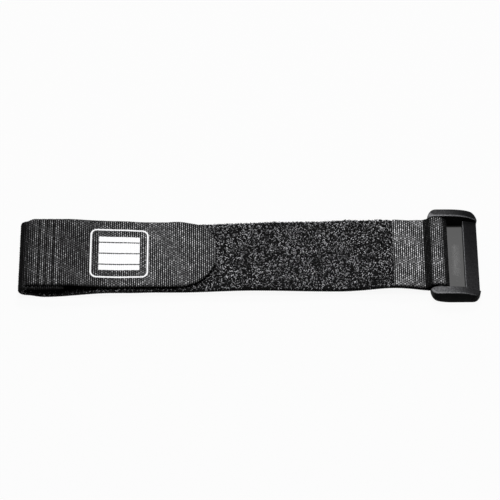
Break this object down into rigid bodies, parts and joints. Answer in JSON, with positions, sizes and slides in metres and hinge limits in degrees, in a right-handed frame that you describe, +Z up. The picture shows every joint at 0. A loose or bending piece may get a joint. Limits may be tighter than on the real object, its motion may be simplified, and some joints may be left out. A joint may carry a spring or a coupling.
{
  "type": "hook and loop cable tie",
  "caption": "Reusable cable tie of loop webbing, with a hook tab welded to its folded end and a moulded slotted buckle held in a loop at the other end.",
  "frame": {"origin": "middle of the tie's footprint, on the surface it lies on", "axes": "+X from the folded tab end towards the buckle, +Y across the strap, +Z up on the pile side"},
  "size_m": [0.1218, 0.0252, 0.0066],
  "materials": {
    "loop_webbing": "ribbed woven face with a looped pile back",
    "hook_webbing": "ribbed woven face with rows of small hooks below",
    "buckle_plastic": "moulded, fine grain"
  },
  "bodies": {
    "strap": {"loop_strap": "loop_webbing", "hook_tape": "hook_webbing"},
    "buckle": {"buckle": "buckle_plastic"}
  },
  "joints": [
    {"name": "buckle_swivel", "type": "hinge", "parent": "strap", "child": "buckle", "pos_m": [0.05047, 0, 0.0036], "axis": [0, 1, 0], "range_deg": [-170, 135]}
  ]
}
